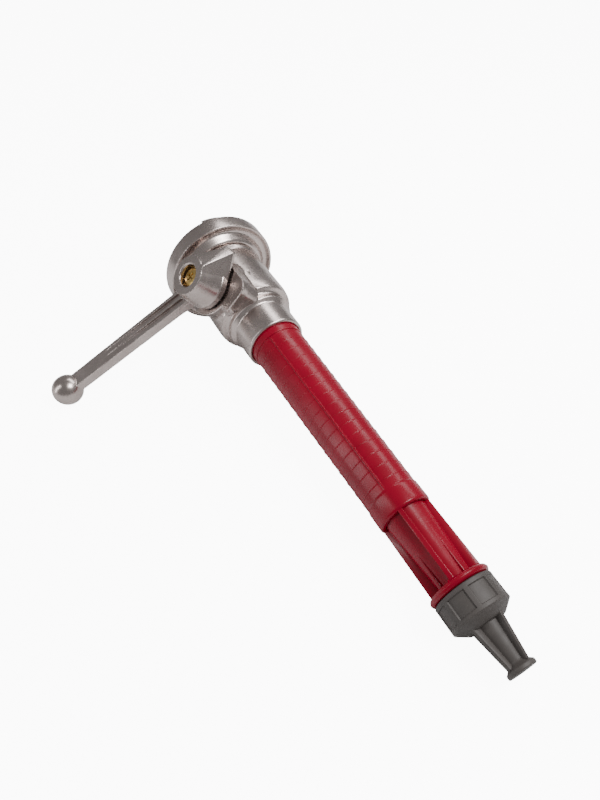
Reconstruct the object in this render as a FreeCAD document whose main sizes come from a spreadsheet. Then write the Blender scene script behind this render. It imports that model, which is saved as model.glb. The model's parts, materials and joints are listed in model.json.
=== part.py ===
"""Multipurpose fire hose branch: Storz-type inlet coupling, ball valve with a lever, barrel and tip.

Every piece is drawn with the nozzle axis along +X and the valve spindle along +Z, and is then
rolled about the nozzle axis to the attitude in which the branch lies on the ground.  The origin is
the centre of the coupling ring's inlet face.  Lengths are millimetres and angles are degrees.
"""
import FreeCAD, Part
import itertools
import math
import os
import re

import Sketcher

DIMENSIONS = {
    # coupling
    "rim_radius": 49.0, "rim_width": 15.6, "rim_chamfer": 0.8, "dish_depth": 3.4,
    "ledge_radius": 39.0, "ledge_width": 4.0, "undercut_radius": 44.0, "undercut_depth": 10.0,
    "nose_radius": 33.0, "lug_radius": 41.0, "lug_web_radius": 37.5, "lug_reach": 12.0,
    "lug_hook": 5.0, "lug_sweep": 64.0, "lug_start": 78.0, "entry_sweep": 76.0,
    "entry_radius": 42.6, "nose_inset": 0.6,
    "hub_ring_radius": 36.5, "hub_ring_end": 19.6, "gasket_inner": 25.0, "gasket_outer": 31.0,
    "gasket_depth": 6.0, "gasket_proud": 0.6, "waterway_radius": 25.0, "thread_radius": 29.6,
    "thread_start": 8.0, "seal_width": 1.6, "lock_screw_radius": 2.5, "lock_screw_angle": 200.0,
    # valve body
    "collar_radius": 34.4, "collar_start": 20.0, "collar_end": 24.0, "shell_radius": 33.0,
    "shoulder_centre": 72.0, "socket_radius": 24.5, "socket_end": 116.0, "socket_lip": 1.0,
    "chamber_radius": 23.6, "chamber_end": 76.6, "outlet_radius": 15.0, "socket_bore": 22.0,
    "socket_floor": 99.0, "boss_radius": 24.5, "boss_top": 38.8, "boss_edge": 1.0,
    "pad_length": 32.8, "pad_near": -2.0, "pad_round": 10.0,
    "shoulder_end": 81.0, "valley_place": 84.0, "valley_radius": 27.0, "ridge_place": 87.6,
    "ridge_radius": 27.9, "socket_start": 92.0,
    "mark_start": 22.0, "mark_near": -4.0, "mark_far": 1.5, "mark_top": 38.4, "mark_tip": 37.2,
    "mark_tip_top": 36.5, "mark_foot": 28.6, "mark_foot_reach": -7.8, "mark_foot_height": 30.0,
    # ball, seats and spindle
    "spindle_place": 55.4, "ball_radius": 22.0, "ball_bore": 14.0, "seat_gap": 0.3,
    "seat_outer": 23.4, "seat_inner": 14.6, "seat_width": 8.0, "retainer_width": 8.0,
    "retainer_ring": 2.0, "baffle_radius": 7.6, "baffle_width": 2.0, "baffle_web": 1.8,
    "slot_width": 6.0, "slot_length": 15.0, "slot_floor": 17.0, "shoulder_radius": 9.6,
    "shoulder_low": 22.6, "shoulder_high": 25.0, "pocket_radius": 10.0, "washer_width": 1.0,
    "shaft_radius": 7.0, "shaft_gap": 0.06, "bush_radius": 11.0, "bush_low": 31.3,
    "ring_section": 0.9, "ring_low": 33.6, "ring_high": 36.9, "square_side": 10.0,
    "square_top": 54.6, "pilot_radius": 3.0, "screw_length": 12.0,
    # lever
    "hub_low": 40.5, "band_top": 46.0, "hub_top": 65.0, "hub_radius": 20.8, "face_radius": 16.0,
    "recess_radius": 9.1, "recess_floor": 55.6, "lever_reach": 133.0,
    "knob_height": 95.6, "knob_radius": 12.5, "arm_width": 16.4, "arm_tip_width": 13.6,
    "arm_depth": 8.6, "arm_tip_depth": 8.2, "arm_root": 17.0, "arm_root_height": 52.1,
    "arm_length": 123.9, "channel_depth": 2.4,
    "channel_width": 3.6, "centre_rib": 3.0, "channel_length": 118.0,
    "cone_radius_low": 20.4, "facet_apex": 8.8, "facet_apex_reach": 15.3, "facet_corner": 15.2,
    "facet_corner_reach": 4.8, "facet_foot": 17.3, "facet_foot_reach": 5.5, "facet_foot_height": 49.1,
    "tail_reach": 34.0, "tail_left": -4.2, "tail_ridge": 0.3, "tail_edge": 3.1, "tail_right": 2.8,
    "tail_edge_height": 43.2, "tail_side": 18.2, "tail_side_reach": 9.0, "tail_back": -19.4,
    "tail_back_reach": 7.6, "tail_back_top": -9.8, "tail_back_top_reach": 12.4,
    "track_radius": 15.6, "track_width": 4.4, "track_depth": 4.0, "stop_pin_radius": 2.0,
    "track_margin": 8.6,
    "screw_head_radius": 7.4, "screw_head": 3.2, "cross_length": 7.0, "cross_width": 1.6,
    "cross_depth": 1.8, "washer_radius": 8.4, "spring_washer": 1.4,
    # barrel
    "barrel_start": 100.0, "plug_radius": 21.9, "band_radius": 21.5, "band_end": 122.6,
    "grip_radius": 20.9, "grip_taper": 0.0138, "ring_first": 123.0, "ring_pitch": 9.91,
    "ring_height": 0.35, "ring_width": 0.9, "band_step": 0.12, "grip_end": 278.6,
    "collar_size": 19.3, "cuff_end": 294.6, "cuff_pocket": 1.6, "core_radius": 15.3,
    "core_tip_radius": 11.8, "rib_radius": 18.4, "rib_width": 3.0, "rib_angle": 18.5,
    "bead_start": 346.6, "bead_end": 351.6, "bead_radius": 21.3, "bead_round": 2.3,
    "barrel_ring": 106.0, "barrel_groove": 20.1, "barrel_wall": 3.4, "spigot_radius": 14.0,
    "spigot_end": 366.7, "parting_width": 0.9, "parting_height": 0.35, "spur_radius": 1.5,
    # inside the barrel
    "jet_tube_radius": 7.6, "jet_tube_wall": 1.2, "jet_tube_start": 79.5, "jet_tube_end": 298.0,
    "spider_width": 10.0, "spider_start": 82.0, "vane_width": 1.6, "swirl_start": 262.0,
    "swirl_width": 14.0, "swirl_radius": 13.6, "insert_radius": 9.6, "insert_bore": 6.0,
    "insert_start": 353.0, "insert_end": 365.0,
    # mouthpiece
    "nut_start": 352.0, "nut_radius": 20.5, "nut_end": 370.6, "cone_end": 375.2,
    "cone_radius": 13.0, "tip_root_radius": 8.8, "tip_radius": 5.8, "flare_start": 400.4,
    "flare_radius": 9.6, "flare_end": 405.0, "panel_start": 355.0, "panel_end": 367.4,
    "panel_depth": 0.7, "panel_width": 13.4, "panel_angle": 50.5, "tip_rib_width": 2.2,
    "tip_rib_root": 14.8, "tip_rib_end": 9.6, "tip_rib_angle": 70.0, "orifice_radius": 4.5,
    "cap_floor": 368.2, "cap_gap": 0.05, "throat_radius": 9.4, "throat_end": 396.0,
    "cap_gasket": 1.4,
    # attitude of the whole branch about the nozzle axis
    "roll": 47.4,
}
RINGS_ON_GRIP = 16
BARREL_RIBS = 4
NUT_PANELS = 8
TIP_RIBS = 4
SWIRL_VANES = 6
SPIDER_VANES = 3
LUGS = 2
FLAT = 1e-6

document = FreeCAD.newDocument("FireHoseBranch")
sheet = document.addObject("Spreadsheet::Sheet", "Sizes")
for row, (alias, number) in enumerate(DIMENSIONS.items(), start=1):
    sheet.set(f"A{row}", alias)
    sheet.set(f"B{row}", str(number))
    sheet.setAlias(f"B{row}", alias)
document.recompute()

sub_parts = []
roll = FreeCAD.Placement(
    FreeCAD.Vector(), FreeCAD.Rotation(FreeCAD.Vector(1, 0, 0), DIMENSIONS["roll"])
)


# ---- sizes and expressions -----------------------------------------------------------------
def cells(expression):
    """The expression with each dimension's name pointing at its cell of the sheet."""

    def point(found):
        word = found.group(0)
        return f"Sizes.{word}" if word in DIMENSIONS else word

    return re.sub(r"[a-z_]+", point, str(expression))


def value(expression):
    return float(sheet.evalExpression(cells(expression)))


def bind(feature, **properties):
    for name, expression in properties.items():
        feature.setExpression(name, cells(expression))


def put(feature, x="0", y="0", z="0", turn=None):
    """Places a feature, with its position bound to the sheet."""
    base = FreeCAD.Vector(value(x), value(y), value(z))
    feature.Placement = FreeCAD.Placement(base, turn or FreeCAD.Rotation())
    for axis, expression in (("x", x), ("y", y), ("z", z)):
        feature.setExpression(f"Placement.Base.{axis}", cells(expression))
    return feature


# ---- primitives ----------------------------------------------------------------------------
ALONG_X = FreeCAD.Rotation(FreeCAD.Vector(0, 1, 0), 90)
X_AXIS = FreeCAD.Vector(1, 0, 0)
Z_AXIS = FreeCAD.Vector(0, 0, 1)


def about_nozzle(angle):
    return FreeCAD.Rotation(X_AXIS, angle)


def round_x(name, radius, start, end, sweep="360", first=0.0):
    """Cylinder along the nozzle axis; a sweep starts at `first`, counted from -Z towards +Y."""
    solid = document.addObject("Part::Cylinder", name)
    bind(solid, Radius=radius, Height=f"({end}) - ({start})", Angle=sweep)
    return put(solid, start, turn=about_nozzle(first) * ALONG_X)


def taper_x(name, radius, end_radius, start, end):
    solid = document.addObject("Part::Cone", name)
    bind(solid, Radius1=radius, Radius2=end_radius, Height=f"({end}) - ({start})")
    return put(solid, start, turn=ALONG_X)


def round_z(name, radius, low, high, sweep="360", first=0.0):
    """Cylinder about the spindle axis; a sweep starts at `first`, counted from +X towards +Y."""
    solid = document.addObject("Part::Cylinder", name)
    bind(solid, Radius=radius, Height=f"({high}) - ({low})", Angle=sweep)
    return put(solid, "spindle_place", z=low, turn=FreeCAD.Rotation(FreeCAD.Vector(0, 0, 1), first))


def ball(name, radius, x="spindle_place", y="0", z="0"):
    solid = document.addObject("Part::Sphere", name)
    bind(solid, Radius=radius)
    return put(solid, x, y, z)


def block(name, x, y, z, length, width, height):
    solid = document.addObject("Part::Box", name)
    bind(solid, Length=length, Width=width, Height=height)
    return put(solid, x, y, z)


def fin(name, azimuth, start, end, width, root, tip):
    """Fin in a plane through the nozzle axis, from radius `root` at its start to `tip` at its end."""
    solid = document.addObject("Part::Wedge", name)
    bind(solid, Xmin=f"-({width}) / 2", Xmax=f"({width}) / 2")
    bind(solid, X2min=f"-({width}) / 2", X2max=f"({width}) / 2")
    bind(solid, Ymin="0", Ymax=f"({end}) - ({start})", Zmin="0", Zmax=root, Z2min="0", Z2max=tip)
    return put(solid, start, turn=about_nozzle(-azimuth) * FreeCAD.Rotation(Z_AXIS, -90))


def fuse(name, *parts):
    joined = document.addObject("Part::MultiFuse", name)
    joined.Shapes = list(parts)
    return joined


def cut(name, base, *tools):
    result = document.addObject("Part::Cut", name)
    result.Base = base
    result.Tool = tools[0] if len(tools) == 1 else fuse(name + "_tools", *tools)
    return result


def pipe_x(name, outer, inner, start, end):
    return cut(
        name,
        round_x(name + "_outside", outer, start, end),
        round_x(name + "_inside", inner, f"({start}) - 1", f"({end}) + 1"),
    )


def pipe_z(name, outer, inner, low, high):
    return cut(
        name,
        round_z(name + "_outside", outer, low, high),
        round_z(name + "_inside", inner, f"({low}) - 1", f"({high}) + 1"),
    )


def turned(name, outline):
    """Solid turned about the nozzle axis from an outline of (place along the axis, radius)."""
    body = document.addObject("PartDesign::Body", name)
    sketch = body.newObject("Sketcher::SketchObject", name + "_outline")
    plane = [o for o in body.Origin.OriginFeatures if o.Role == "XZ_Plane"][0]
    sketch.AttachmentSupport = [(plane, "")]
    sketch.MapMode = "FlatFace"
    points = [FreeCAD.Vector(value(x), value(radius), 0) for x, radius in outline]
    count = len(points)
    for i in range(count):
        sketch.addGeometry(Part.LineSegment(points[i], points[(i + 1) % count]), False)
    for i in range(count):
        sketch.addConstraint(Sketcher.Constraint("Coincident", i, 2, (i + 1) % count, 1))
    for i, (x, radius) in enumerate(outline):
        for kind, expression in (("DistanceX", x), ("DistanceY", radius)):
            number = value(expression)
            made = sketch.addConstraint(Sketcher.Constraint(kind, -1, 1, i, 1, number))
            sketch.setExpression(f"Constraints[{made}]", cells(expression))
    revolution = body.newObject("PartDesign::Revolution", name + "_turned")
    revolution.Profile = sketch
    revolution.ReferenceAxis = (sketch, ["H_Axis"])
    revolution.Angle = 360
    return body


def convex(name, points):
    """Convex solid round some points: a plane through three of them with none outside is a face."""
    corners = [FreeCAD.Vector(*p) for p in points]
    centre = sum(corners, FreeCAD.Vector()) / len(corners)
    faces = {}
    for a, b, c in itertools.combinations(corners, 3):
        normal = (b - a).cross(c - a)
        if normal.Length < FLAT:
            continue
        normal.normalize()
        if normal.dot(a - centre) < 0:
            normal = -normal
        if max(normal.dot(p - a) for p in corners) > FLAT:
            continue
        on_plane = [p for p in corners if abs(normal.dot(p - a)) <= FLAT]
        faces[frozenset(corners.index(p) for p in on_plane)] = (normal, on_plane)
    walls = []
    for normal, ring in faces.values():
        middle = sum(ring, FreeCAD.Vector()) / len(ring)
        start = ring[0] - middle
        side = normal.cross(start)
        ring.sort(key=lambda p: math.atan2((p - middle).dot(side), (p - middle).dot(start)))
        walls.append(Part.Face(Part.makePolygon(ring + ring[:1])))
    feature = document.addObject("Part::Feature", name)
    feature.Shape = Part.makeSolid(Part.makeShell(walls))
    return feature


def sub_part(label, feature):
    """Names a finished piece and rolls it with the rest of the branch."""
    feature.Label = label
    rolled = roll * feature.Placement
    for axis in "xyz":
        feature.setExpression(f"Placement.Base.{axis}", None)
    feature.Placement = rolled
    sub_parts.append(feature)
    return feature


# ---- coupling ------------------------------------------------------------------------------
def coupling_head():
    ring = turned(
        "head_ring",
        [
            ("0", "ledge_radius"), ("0", "rim_radius - 1.2"), ("1.2", "rim_radius"),
            ("rim_width - rim_chamfer", "rim_radius"), ("rim_width", "rim_radius - rim_chamfer"),
            ("rim_width", "rim_radius - 2.6"), ("rim_width - 2", "rim_radius - 4.5"),
            ("rim_width - dish_depth", "rim_radius - 8"), ("rim_width - 2", "hub_ring_radius + 1"),
            ("hub_ring_end - 1", "hub_ring_radius"), ("hub_ring_end", "hub_ring_radius - 1.4"),
            ("hub_ring_end", "thread_radius + 0.2"), ("thread_start - 0.1", "thread_radius + 0.2"),
            ("thread_start - 0.1", "waterway_radius"), ("gasket_depth", "waterway_radius"),
            ("gasket_depth", "gasket_outer"), ("nose_inset", "gasket_outer"),
            ("nose_inset", "nose_radius"),
            ("undercut_depth", "nose_radius"), ("undercut_depth", "undercut_radius"),
            ("ledge_width", "undercut_radius"), ("ledge_width", "ledge_radius"),
        ],
    )
    entries = []
    lugs = []
    for i in range(LUGS):
        half_turn = 180.0 * i
        middle = value("lug_start + lug_sweep / 2 + 90") + half_turn
        entries.append(
            round_x(f"entry_{i}", "entry_radius", "-1", "ledge_width + 1",
                    "entry_sweep", middle - value("entry_sweep / 2"))
        )
        first = value("lug_start") + half_turn
        web = round_x(f"lug_web_{i}", "lug_web_radius", "-lug_reach", "undercut_depth + 0.5",
                      "lug_sweep", first)
        hook = round_x(f"lug_hook_{i}", "lug_radius", "-lug_reach", "-lug_reach + lug_hook",
                       "lug_sweep", first)
        hollow = round_x(f"lug_hollow_{i}", "nose_radius", "-lug_reach - 1", "nose_inset")
        root = round_x(f"lug_root_{i}", "nose_radius - 1", "0", "undercut_depth + 1")
        lugs.append(cut(f"lug_{i}", fuse(f"lug_blank_{i}", web, hook), hollow, root))
    hollow = round_x("entry_hollow", "ledge_radius - 1", "-2", "ledge_width + 2")
    entry_tool = cut("entry_tool", fuse("entry_sectors", *entries), hollow)
    slotted = cut("slotted_ring", ring, entry_tool)
    angle = math.radians(value("lock_screw_angle"))
    hole = document.addObject("Part::Cylinder", "lock_screw_hole")
    bind(hole, Radius="lock_screw_radius + 0.02", Height="hub_ring_radius + 1")
    put(hole, "hub_ring_end - 4.4", turn=radial_turn(angle))
    return sub_part("coupling_head", cut("head", fuse("head_blank", slotted, *lugs), hole))


def radial_turn(angle):
    """Turns +Z to the direction at `angle` radians from +Z towards +Y."""
    return about_nozzle(-math.degrees(angle))


def lock_screw():
    angle = math.radians(value("lock_screw_angle"))
    reach = ("thread_radius + 0.3", "hub_ring_radius - 0.6")
    screw = document.addObject("Part::Cylinder", "lock_screw_shank")
    bind(screw, Radius="lock_screw_radius", Height=f"{reach[1]} - ({reach[0]})")
    radius = value(reach[0])
    place = FreeCAD.Vector(value("hub_ring_end - 4.4"), radius * math.sin(angle),
                           radius * math.cos(angle))
    screw.Placement = FreeCAD.Placement(place, radial_turn(angle))
    socket = document.addObject("Part::Prism", "lock_screw_socket")
    socket.Polygon = 6
    bind(socket, Circumradius="lock_screw_radius * 0.55", Height="4")
    place = FreeCAD.Vector(place.x, value("hub_ring_radius - 3") * math.sin(angle),
                           value("hub_ring_radius - 3") * math.cos(angle))
    socket.Placement = FreeCAD.Placement(place, radial_turn(angle))
    return sub_part("coupling_lock_screw", cut("lock_screw", screw, socket))


def coupling_gasket():
    lip = turned(
        "gasket_outline",
        [
            ("-gasket_proud", "gasket_inner"), ("-gasket_proud", "gasket_outer - 1.6"),
            ("0.8", "gasket_outer - 0.6"), ("gasket_depth", "gasket_outer"),
            ("gasket_depth", "gasket_inner"),
        ],
    )
    return sub_part("coupling_gasket", lip)


# ---- valve body ----------------------------------------------------------------------------
def valve_body():
    collar = turned(
        "body_collar",
        [
            ("collar_start", "thread_radius - 2"), ("collar_start", "collar_radius - 1"),
            ("collar_start + 1", "collar_radius"), ("collar_end - 1.4", "collar_radius"),
            ("collar_end + 1.6", "shell_radius - 0.4"), ("collar_end + 1.6", "thread_radius - 2"),
        ],
    )
    socket = turned(
        "body_socket",
        [
            ("shoulder_centre", "0"), ("shoulder_centre", "valley_radius"),
            ("valley_place", "valley_radius"), ("ridge_place", "ridge_radius"),
            ("ridge_place + 1.2", "ridge_radius"), ("socket_start", "socket_radius + 0.3"),
            ("socket_end - socket_lip", "socket_radius"), ("socket_end", "socket_radius - socket_lip"),
            ("socket_end", "0"),
        ],
    )
    boss = document.addObject("Part::Cone", "body_boss_edge")
    bind(boss, Radius1="boss_radius", Radius2="boss_radius - boss_edge", Height="boss_edge")
    put(boss, "spindle_place", z="boss_top - boss_edge")
    past = block("shoulder_past", "shoulder_end", "-shell_radius", "-shell_radius",
                 "shell_radius", "2 * shell_radius", "2 * shell_radius")
    shoulder = cut("shoulder", ball("body_shoulder", "shell_radius", "shoulder_centre"), past)
    outside = fuse(
        "body_outside",
        round_x("body_spigot", "thread_radius", "thread_start + seal_width", "collar_start + 1"),
        collar,
        round_x("body_shell", "shell_radius", "collar_end + 1", "shoulder_centre"),
        shoulder,
        socket,
    )
    hollows = [
        round_x("chamber", "chamber_radius", "0", "chamber_end"),
        round_x("outlet_way", "outlet_radius", "chamber_end - 1", "socket_floor + 1"),
        round_x("socket_hollow", "socket_bore", "socket_floor", "socket_end + 1"),
        round_z("stem_pocket", "pocket_radius", "10", "shoulder_high + washer_width"),
        round_z("stem_way", "shaft_radius + 0.4", "20", "boss_top + 1"),
        round_z("bush_seat", "bush_radius", "bush_low", "boss_top + 2"),
    ]
    pin_hole = stop_pin_blank("stop_pin_hole", "boss_top - 7", "boss_top + 1", "0.02")
    boss_wall = round_z("body_boss", "boss_radius", "0", "boss_top - boss_edge")
    solid = fuse("body_solid", outside, boss_wall, boss, pad(), index_lug())
    return sub_part("valve_body", cut("body", solid, *hollows, pin_hole))


def pad():
    """Cast pad beside the spindle's boss, level with it, with one rounded corner."""
    floor = "outlet_radius + 4"
    height = f"boss_top - ({floor})"
    bars = [
        block("pad_long", "spindle_place", "pad_near", floor, "pad_length",
              "boss_radius - pad_round - pad_near", height),
        block("pad_short", "spindle_place", "pad_near", floor, "pad_length - pad_round",
              "boss_radius - pad_near", height),
    ]
    corner = document.addObject("Part::Cylinder", "pad_corner")
    bind(corner, Radius="pad_round", Height=height)
    put(corner, "spindle_place + pad_length - pad_round", "boss_radius - pad_round", floor)
    return fuse("body_pad", *bars, corner)


def index_lug():
    """Wedge at the near end of the pad."""
    corners = [
        ("mark_start", "mark_near", "mark_top"), ("pad_length", "mark_far", "mark_top"),
        ("mark_tip", "mark_far", "mark_tip_top"), ("mark_foot", "mark_foot_reach", "mark_foot_height"),
        ("mark_start", "mark_foot_reach", "mark_foot_height"),
        ("mark_start", "mark_far", "outlet_radius + 8"), ("mark_foot", "mark_far", "outlet_radius + 8"),
    ]
    points = [(value(f"spindle_place + {x}"), value(y), value(z)) for x, y, z in corners]
    return convex("body_index_lug", points)


def stop_pin_blank(name, low, high, gap="0"):
    pin = document.addObject("Part::Cylinder", name)
    bind(pin, Radius=f"stop_pin_radius + {gap}", Height=f"({high}) - ({low})")
    return put(pin, "spindle_place", "track_radius", low)


def ring_x(name, start, end, outer, inner):
    return sub_part(name, pipe_x(name + "_pipe", outer, inner, start, end))


def seats():
    """Two plastic rings, each hollowed to the ball with a small gap."""
    for name, start, end in (
        ("outlet_seat", "chamber_end - seat_width", "chamber_end"),
        ("inlet_seat", "2 * spindle_place - chamber_end", "2 * spindle_place - chamber_end + seat_width"),
    ):
        ring = pipe_x(name + "_ring", "seat_outer", "seat_inner", start, end)
        sub_part(name, cut(name + "_cut", ring, ball(name + "_hollow", "ball_radius + seat_gap")))


def seat_retainer():
    end = "2 * spindle_place - chamber_end - 0.2"
    ring = pipe_x("retainer_ring_blank", "seat_outer", "seat_inner + 1", f"{end} - retainer_width", end)
    key_slot = block("retainer_slot", f"{end} - retainer_width - 1", "-2", "-seat_outer - 1",
                     "4", "4", "2 * seat_outer + 2")
    ring_seal = document.addObject("Part::Torus", "retainer_seal")
    bind(ring_seal, Radius1="seat_outer - retainer_ring / 2", Radius2="retainer_ring / 2")
    put(ring_seal, f"{end} - 2.4", turn=ALONG_X)
    groove = pipe_x("retainer_groove", "seat_outer + 1", "seat_outer - retainer_ring",
                    f"{end} - 3.4", f"{end} - 1.4")
    sub_part("seat_retainer", cut("retainer", ring, groove, key_slot))
    sub_part("retainer_o_ring", ring_seal)


# ---- ball and spindle ----------------------------------------------------------------------
def valve_ball():
    """The ball's bore lies across the nozzle at rest, so the valve is shut."""
    bore = document.addObject("Part::Cylinder", "ball_bore_way")
    bind(bore, Radius="ball_bore", Height="2 * ball_radius + 2")
    put(bore, "spindle_place", "ball_radius + 1", "0", FreeCAD.Rotation(X_AXIS, 90))
    slot = block("ball_slot", "spindle_place - slot_width / 2", "-slot_length / 2", "slot_floor",
                 "slot_width", "slot_length", "ball_radius")
    return sub_part("valve_ball", cut("ball_cut", ball("ball_blank", "ball_radius"), bore, slot))


def spray_baffle():
    """Disc on three webs in one mouth of the ball's bore; it sends the water round the jet tube."""
    depth = "ball_radius * 0.62"
    disc = document.addObject("Part::Cylinder", "baffle_disc")
    bind(disc, Radius="baffle_radius", Height="baffle_width")
    put(disc, "spindle_place", f"{depth} + baffle_width", "0", FreeCAD.Rotation(X_AXIS, 90))
    rim = document.addObject("Part::Cylinder", "baffle_rim_outside")
    bind(rim, Radius="ball_bore - 0.02", Height="baffle_width")
    put(rim, "spindle_place", f"{depth} + baffle_width", "0", FreeCAD.Rotation(X_AXIS, 90))
    hole = document.addObject("Part::Cylinder", "baffle_rim_inside")
    bind(hole, Radius="ball_bore - 1.2", Height="baffle_width + 2")
    put(hole, "spindle_place", f"{depth} + baffle_width + 1", "0", FreeCAD.Rotation(X_AXIS, 90))
    webs = [
        block(f"baffle_web_{i}", x, depth, z, length, "baffle_width", height)
        for i, (x, z, length, height) in enumerate((
            ("spindle_place - ball_bore + 0.6", "-baffle_web / 2", "2 * ball_bore - 1.2", "baffle_web"),
            ("spindle_place - baffle_web / 2", "-ball_bore + 0.6", "baffle_web", "2 * ball_bore - 1.2"),
        ))
    ]
    return sub_part("spray_baffle", fuse("baffle", disc, cut("baffle_rim", rim, hole), *webs))


def spindle():
    tang = block("spindle_tang", "spindle_place - slot_width / 2 + 0.02", "-slot_length / 2 + 0.8",
                 "slot_floor + 0.1", "slot_width - 0.04", "slot_length - 1.6", "6.5")
    shoulder = round_z("spindle_shoulder", "shoulder_radius", "shoulder_low", "shoulder_high")
    shaft = round_z("spindle_shaft", "shaft_radius", "shoulder_low", "hub_low")
    square = block("spindle_square", "spindle_place - square_side / 2", "-square_side / 2",
                   "hub_low - 1", "square_side", "square_side", "square_top - hub_low + 1")
    square_round = round_z("spindle_square_round", "square_side * 0.62", "hub_low - 1", "square_top")
    rounded = document.addObject("Part::MultiCommon", "spindle_square_trimmed")
    rounded.Shapes = [square, square_round]
    tools = [
        round_z("spindle_pilot", "pilot_radius + 0.03", "square_top - screw_length + 1",
                "square_top + 1"),
    ]
    for i, height in enumerate(("ring_low", "ring_high")):
        tools.append(
            pipe_z(f"spindle_groove_{i}", "shaft_radius + 1", "shaft_radius - 2 * ring_section - 0.02",
                   f"{height} - ring_section - 0.1", f"{height} + ring_section + 0.1")
        )
    blank = fuse("spindle_blank", tang, shoulder, shaft, rounded)
    return sub_part("spindle", cut("spindle_cut", blank, *tools))


def spindle_o_rings():
    rings = []
    for i, height in enumerate(("ring_low", "ring_high")):
        ring = document.addObject("Part::Torus", f"spindle_ring_{i}")
        bind(ring, Radius1="shaft_radius - ring_section + 0.01", Radius2="ring_section")
        rings.append(put(ring, "spindle_place", z=height))
    group = document.addObject("Part::Compound", "spindle_rings")
    group.Links = rings
    return sub_part("spindle_o_rings", group)


def gland():
    sub_part("thrust_washer", pipe_z("thrust_pipe", "pocket_radius - 0.1", "shaft_radius + 0.3",
                                     "shoulder_high + 0.02", "shoulder_high + washer_width"))
    sub_part("gland_bush", pipe_z("gland_pipe", "bush_radius", "shaft_radius + shaft_gap",
                                  "bush_low", "boss_top"))
    sub_part("stop_pin", stop_pin_blank("stop_pin_blank", "boss_top - 7", "hub_low + track_depth - 1.2"))


# ---- lever ---------------------------------------------------------------------------------
def tail():
    """Faceted tail opposite the arm: its ridge runs from the front face down to the tip."""
    corners = [
        ("facet_apex", "facet_apex_reach", "hub_top"),
        ("facet_corner", "facet_corner_reach", "hub_top"),
        ("facet_foot", "facet_foot_reach", "facet_foot_height"),
        ("tail_back_top", "tail_back_top_reach", "hub_top"),
        ("tail_ridge", "tail_reach", "band_top"),
        ("tail_edge", "tail_reach", "tail_edge_height"),
        ("tail_right", "tail_reach", "hub_low"),
        ("tail_side", "tail_side_reach", "hub_low"),
        ("0", "-tail_back_reach", "hub_top"),
    ]
    for height in ("hub_low", "band_top"):
        corners.append(("tail_left", "tail_reach", height))
        corners.append(("tail_back", "tail_back_reach", height))
        corners.append(("0", "-tail_back_reach", height))
    points = [(value(f"spindle_place + ({x})"), value(y), value(z)) for x, y, z in corners]
    return convex("lever_tail", points)


def arm_turn():
    rise = value("knob_height - arm_root_height") / value("lever_reach - arm_root")
    tilt = math.degrees(math.atan(rise))
    return FreeCAD.Rotation(X_AXIS, -tilt) * FreeCAD.Rotation(Z_AXIS, 180)


def bar(name, width, tip_width, low, high, tip_low, tip_high, x="0", start="0", end="arm_length"):
    """Tapering bar along the lever's arm, measured from the arm's root on its centre line."""
    solid = document.addObject("Part::Wedge", name)
    bind(solid, Xmin=f"({x}) - ({width}) / 2", Xmax=f"({x}) + ({width}) / 2")
    bind(solid, X2min=f"({x}) - ({tip_width}) / 2", X2max=f"({x}) + ({tip_width}) / 2")
    bind(solid, Ymin=start, Ymax=end, Zmin=low, Zmax=high, Z2min=tip_low, Z2max=tip_high)
    return put(solid, "spindle_place", "-arm_root", "arm_root_height", arm_turn())


def lever():
    hub_band = round_z("lever_band", "hub_radius", "hub_low", "band_top")
    hub_cone = document.addObject("Part::Cone", "lever_cone")
    bind(hub_cone, Radius1="cone_radius_low", Radius2="face_radius", Height="hub_top - band_top")
    put(hub_cone, "spindle_place", z="band_top")
    arm = bar("lever_arm", "arm_width", "arm_tip_width", "-arm_depth / 2", "arm_depth / 2",
              "-arm_tip_depth / 2", "arm_tip_depth / 2")
    knob = ball("lever_knob", "knob_radius", "spindle_place", "-lever_reach", "knob_height")
    blank = fuse("lever_blank", hub_band, hub_cone, tail(), arm, knob)
    floor = "arm_depth / 2 - channel_depth"
    channels = [
        bar(f"lever_channel_{i}", "channel_width", "channel_width", floor, "arm_depth",
            "arm_tip_depth / 2", "arm_depth", f"{side} * (centre_rib + channel_width) / 2",
            "4", "channel_length")
        for i, side in enumerate((-1, 1))
    ]
    recess = round_z("lever_recess", "recess_radius", "recess_floor", "hub_top + 1")
    square = block("lever_square", "spindle_place - square_side / 2 - 0.02", "-square_side / 2 - 0.02",
                   "hub_low - 1", "square_side + 0.04", "square_side + 0.04", "recess_floor")
    under = block("lever_under", "spindle_place - 60", "-60", "hub_low - 30", "120", "120", "30")
    track = cut(
        "lever_track",
        round_z("track_outside", "track_radius + track_width / 2 + 0.5", "hub_low - 1",
                "hub_low + track_depth", "180 + 2 * track_margin", -value("track_margin")),
        round_z("track_inside", "track_radius - track_width / 2 - 0.5", "hub_low - 2",
                "hub_low + track_depth + 1"),
    )
    return sub_part("lever", cut("lever_cut", blank, *channels, recess, square, under, track))


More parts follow.
